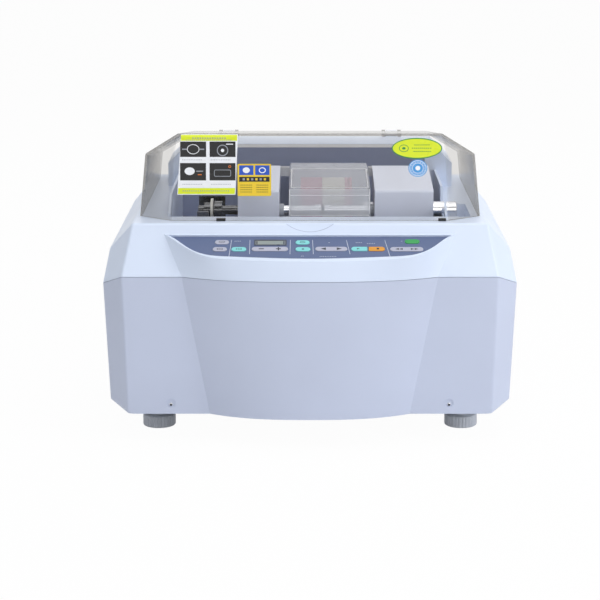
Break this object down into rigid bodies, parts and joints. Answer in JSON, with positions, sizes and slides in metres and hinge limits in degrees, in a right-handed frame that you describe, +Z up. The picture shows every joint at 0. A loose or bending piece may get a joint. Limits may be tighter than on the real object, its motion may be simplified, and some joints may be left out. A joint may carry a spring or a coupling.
{
  "type": "optical lens edger",
  "caption": "Tabletop lens edger with a clear lift-up hood over a swinging lens carriage and grinding wheels, a sloped key panel and four levelling feet.",
  "frame": {"origin": "floor centre under the machine, midway between its outermost faces", "axes": "+X to the user's right, +Z up, the key panel faces -Y"},
  "size_m": [0.54, 0.49, 0.4019],
  "materials": {
    "white_shell": "satin moulded white",
    "grey_shell": "satin moulded pale grey",
    "slate_liner": "slate moulded",
    "steel_plate": "powder coat",
    "panel_slate": "printed film",
    "display_glass": "display window",
    "board_green": "circuit board",
    "bearing_steel": "machined",
    "belt_rubber": "belt",
    "motor_paint": "black paint",
    "black_plastic": "moulded",
    "dark_bracket": "blackened",
    "brass_fitting": "turned",
    "screw_steel": "plated",
    "clear_hood": "clear moulded",
    "black_rubber": "bumper",
    "ground_steel": "ground",
    "cast_frame": "cast",
    "arm_white": "satin moulded white",
    "clear_splash": "clear moulded",
    "former_plastic": "template",
    "chrome_knob": "polished",
    "rough_grit": "aluminium hub with a coarse pink diamond bond",
    "fine_grit": "aluminium hub with a fine beige diamond bond",
    "polish_grit": "aluminium hub with a pink polishing bond",
    "key_grey": "key",
    "key_cyan": "key",
    "key_orange": "key",
    "key_green": "key",
    "foot_grey": "ribbed"
  },
  "bodies": {
    "housing": {"upper_cover": "white_shell", "rear_housing": "white_shell", "lower_cover": "grey_shell", "well_liner": "slate_liner", "wheel_basin": "slate_liner", "base_plate": "steel_plate", "rear_panel": "steel_plate", "control_panel": "panel_slate", "display_window": "display_glass", "key_board": "board_green", "spindle_bearings": "bearing_steel", "rail_brackets": "bearing_steel", "hood_hinges": "bearing_steel", "drive_belt": "belt_rubber", "grinding_motor": "motor_paint", "power_supply": "motor_paint", "power_inlet": "black_plastic", "fan_frame": "black_plastic", "shoe_holder": "dark_bracket", "water_nipples": "brass_fitting", "screws": "screw_steel"},
    "hood": {"hood": "clear_hood", "hood_bumpers": "black_rubber"},
    "carriage_slider": {"carriage_rail": "ground_steel"},
    "carriage": {"carriage_frame": "cast_frame", "left_arm_cover": "arm_white", "right_arm_cover": "arm_white", "chuck_motor": "motor_paint", "splash_brackets": "bearing_steel"},
    "splash_guard": {"splash_cover": "clear_splash"},
    "left_chuck": {"left_chuck_shaft": "ground_steel", "pattern_former": "former_plastic", "lens_pad": "black_rubber"},
    "clamp_slider": {"clamp_sleeve": "ground_steel"},
    "right_chuck": {"right_chuck_shaft": "ground_steel"},
    "clamp_screw": {"clamp_knob": "chrome_knob"},
    "cross_drive": {"cross_shaft": "ground_steel"},
    "wheel_rotor": {"wheel_spindle": "ground_steel", "rough_wheel": "rough_grit", "fine_wheel": "fine_grit", "polish_wheel": "polish_grit"},
    "motor_rotor": {"motor_pulley": "ground_steel"},
    "shoe": {"touch_shoe": "ground_steel"},
    "rocker": {"rocker_switch": "black_plastic"},
    "fan": {"fan_rotor": "black_plastic"},
    "key_mode_body": {"key_mode": "key_grey"},
    "key_type_body": {"key_type": "key_grey"},
    "key_material_body": {"key_material": "key_cyan"},
    "key_size_set_body": {"key_size_set": "key_cyan"},
    "key_polish_body": {"key_polish": "key_cyan"},
    "key_start_body": {"key_start": "key_cyan"},
    "key_stop_body": {"key_stop": "key_orange"},
    "key_power_body": {"key_power": "key_green"},
    "key_minus_plus_body": {"key_minus_plus": "key_grey"},
    "key_left_right_body": {"key_left_right": "key_grey"},
    "key_rewind_forward_body": {"key_rewind_forward": "key_grey"},
    "foot_front_left_body": {"foot_front_left": "foot_grey"},
    "foot_front_right_body": {"foot_front_right": "foot_grey"},
    "foot_rear_left_body": {"foot_rear_left": "foot_grey"},
    "foot_rear_right_body": {"foot_rear_right": "foot_grey"}
  },
  "joints": [
    {"name": "hood_lift", "type": "hinge", "parent": "housing", "child": "hood", "pos_m": [0, 0.208, 0.3525], "axis": [-1, 0, 0], "range_deg": [0, 68]},
    {"name": "carriage_traverse", "type": "slide", "parent": "housing", "child": "carriage_slider", "axis": [1, 0, 0], "range_m": [-0.016, 0.01]},
    {"name": "carriage_swing", "type": "hinge", "parent": "carriage_slider", "child": "carriage", "pos_m": [0, -0.06, 0.13], "axis": [-1, 0, 0], "range_deg": [0, 10]},
    {"name": "splash_lift", "type": "hinge", "parent": "carriage", "child": "splash_guard", "pos_m": [0, 0.01, 0.327], "axis": [-1, 0, 0], "range_deg": [0, 25]},
    {"name": "cross_turn", "type": "hinge", "parent": "carriage", "child": "cross_drive", "pos_m": [0, -0.068, 0.2435], "axis": [1, 0, 0], "continuous": true},
    {"name": "left_chuck_turn", "type": "hinge", "parent": "carriage", "child": "left_chuck", "pos_m": [0, -0.08, 0.288], "axis": [1, 0, 0], "continuous": true},
    {"name": "clamp_knob_turn", "type": "hinge", "parent": "carriage", "child": "clamp_screw", "pos_m": [0.1965, -0.08, 0.288], "axis": [1, 0, 0], "range_deg": [0, 1090]},
    {"name": "clamp_slide", "type": "slide", "parent": "carriage", "child": "clamp_slider", "axis": [1, 0, 0], "range_m": [0, 0.012]},
    {"name": "right_chuck_turn", "type": "hinge", "parent": "clamp_slider", "child": "right_chuck", "pos_m": [0, -0.08, 0.288], "axis": [1, 0, 0], "continuous": true},
    {"name": "wheel_spin", "type": "hinge", "parent": "housing", "child": "wheel_rotor", "pos_m": [0, 0.02, 0.266], "axis": [1, 0, 0], "continuous": true},
    {"name": "motor_spin", "type": "hinge", "parent": "housing", "child": "motor_rotor", "pos_m": [0, 0.135, 0.112], "axis": [1, 0, 0], "continuous": true},
    {"name": "shoe_adjust", "type": "slide", "parent": "housing", "child": "shoe", "axis": [0, 1, 0], "range_m": [-0.001, 0.004]},
    {"name": "fan_spin", "type": "hinge", "parent": "housing", "child": "fan", "pos_m": [0.12, 0.215, 0.126], "axis": [0, 1, 0], "continuous": true},
    {"name": "power_rock", "type": "hinge", "parent": "housing", "child": "rocker", "pos_m": [-0.14, 0.224, 0.14], "axis": [0, 0, -1], "range_deg": [0, 12]},
    {"name": "key_mode_press", "type": "slide", "parent": "housing", "child": "key_mode_body", "axis": [0, 0.454, -0.891], "range_m": [0, 0.0006], "stiffness_N_per_m": 900, "springref_m": -0.0006},
    {"name": "key_type_press", "type": "slide", "parent": "housing", "child": "key_type_body", "axis": [0, 0.454, -0.891], "range_m": [0, 0.0006], "stiffness_N_per_m": 900, "springref_m": -0.0006},
    {"name": "key_material_press", "type": "slide", "parent": "housing", "child": "key_material_body", "axis": [0, 0.454, -0.891], "range_m": [0, 0.0006], "stiffness_N_per_m": 900, "springref_m": -0.0006},
    {"name": "key_size_set_press", "type": "slide", "parent": "housing", "child": "key_size_set_body", "axis": [0, 0.454, -0.891], "range_m": [0, 0.0006], "stiffness_N_per_m": 900, "springref_m": -0.0006},
    {"name": "key_polish_press", "type": "slide", "parent": "housing", "child": "key_polish_body", "axis": [0, 0.454, -0.891], "range_m": [0, 0.0006], "stiffness_N_per_m": 900, "springref_m": -0.0006},
    {"name": "key_start_press", "type": "slide", "parent": "housing", "child": "key_start_body", "axis": [0, 0.454, -0.891], "range_m": [0, 0.0006], "stiffness_N_per_m": 900, "springref_m": -0.0006},
    {"name": "key_stop_press", "type": "slide", "parent": "housing", "child": "key_stop_body", "axis": [0, 0.454, -0.891], "range_m": [0, 0.0006], "stiffness_N_per_m": 900, "springref_m": -0.0006},
    {"name": "key_power_press", "type": "slide", "parent": "housing", "child": "key_power_body", "axis": [0, 0.454, -0.891], "range_m": [0, 0.0006], "stiffness_N_per_m": 900, "springref_m": -0.0006},
    {"name": "key_minus_plus_rock", "type": "hinge", "parent": "housing", "child": "key_minus_plus_body", "pos_m": [-0.0515, -0.21115, 0.25548], "axis": [0, 0.891, 0.454], "range_deg": [-1.5, 1.5], "stiffness_Nm_per_rad": 0.6},
    {"name": "key_left_right_rock", "type": "hinge", "parent": "housing", "child": "key_left_right_body", "pos_m": [0.0273, -0.21097, 0.25557], "axis": [0, 0.891, 0.454], "range_deg": [-1.5, 1.5], "stiffness_Nm_per_rad": 0.6},
    {"name": "key_rewind_forward_rock", "type": "hinge", "parent": "housing", "child": "key_rewind_forward_body", "pos_m": [0.1239, -0.21151, 0.25529], "axis": [0, 0.891, 0.454], "range_deg": [-1.5, 1.5], "stiffness_Nm_per_rad": 0.6},
    {"name": "foot_front_left_turn", "type": "hinge", "parent": "housing", "child": "foot_front_left_body", "pos_m": [-0.204, -0.118, 0], "axis": [0, 0, 1], "continuous": true},
    {"name": "foot_front_right_turn", "type": "hinge", "parent": "housing", "child": "foot_front_right_body", "pos_m": [0.204, -0.118, 0], "axis": [0, 0, 1], "continuous": true},
    {"name": "foot_rear_left_turn", "type": "hinge", "parent": "housing", "child": "foot_rear_left_body", "pos_m": [-0.204, 0.188, 0], "axis": [0, 0, 1], "continuous": true},
    {"name": "foot_rear_right_turn", "type": "hinge", "parent": "housing", "child": "foot_rear_right_body", "pos_m": [0.204, 0.188, 0], "axis": [0, 0, 1], "continuous": true}
  ],
  "couplings": [
    {"joint": "left_chuck_turn", "follows": "cross_turn", "ratio": -1},
    {"joint": "right_chuck_turn", "follows": "cross_turn", "ratio": -1},
    {"joint": "motor_spin", "follows": "wheel_spin", "ratio": 0.5},
    {"joint": "clamp_knob_turn", "follows": "clamp_slide", "rad_per_m": 1570.8}
  ]
}
